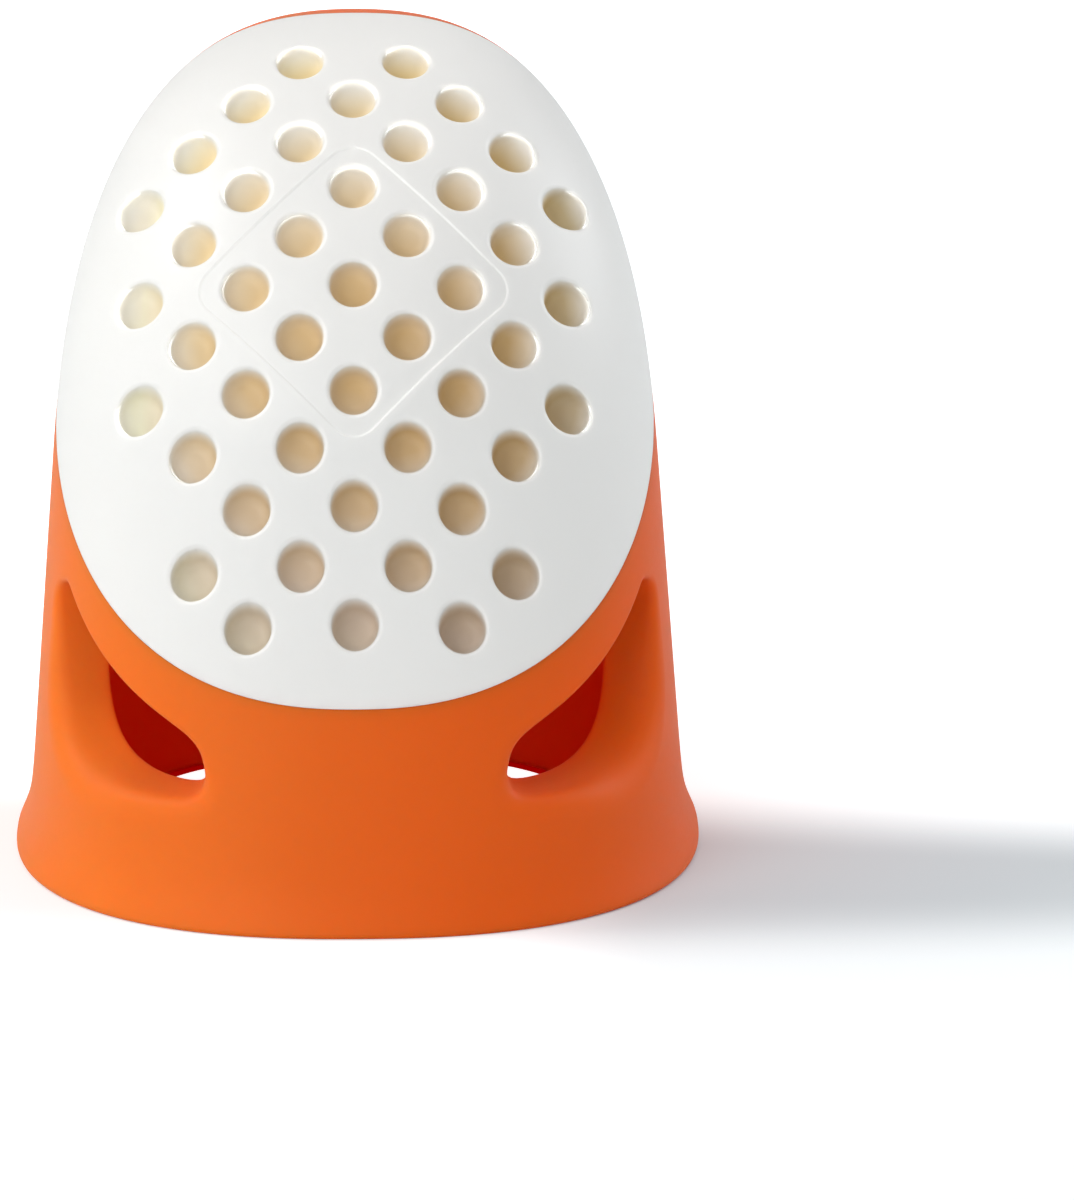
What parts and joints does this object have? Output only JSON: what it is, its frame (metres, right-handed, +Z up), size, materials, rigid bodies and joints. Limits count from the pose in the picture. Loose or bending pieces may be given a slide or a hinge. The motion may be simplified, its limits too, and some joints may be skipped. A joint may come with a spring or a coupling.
{
  "type": "thimble",
  "caption": "Shaped sewing thimble with a hard dimpled shell over the fingertip and a soft flared sleeve with an airing window on each side.",
  "frame": {"origin": "centre of the foot, on the floor it stands on", "axes": "+Z up through the crown, -Y towards the dimpled front, +X to the right seen from the front"},
  "size_m": [0.0206, 0.0206, 0.0243],
  "materials": {
    "hard_plastic": "smooth moulded white plastic, faintly translucent, warm in the dimples",
    "soft_plastic": "satin soft-touch orange plastic"
  },
  "bodies": {
    "root": {"hard_shell": "hard_plastic", "soft_sleeve": "soft_plastic"}
  },
  "joints": []
}
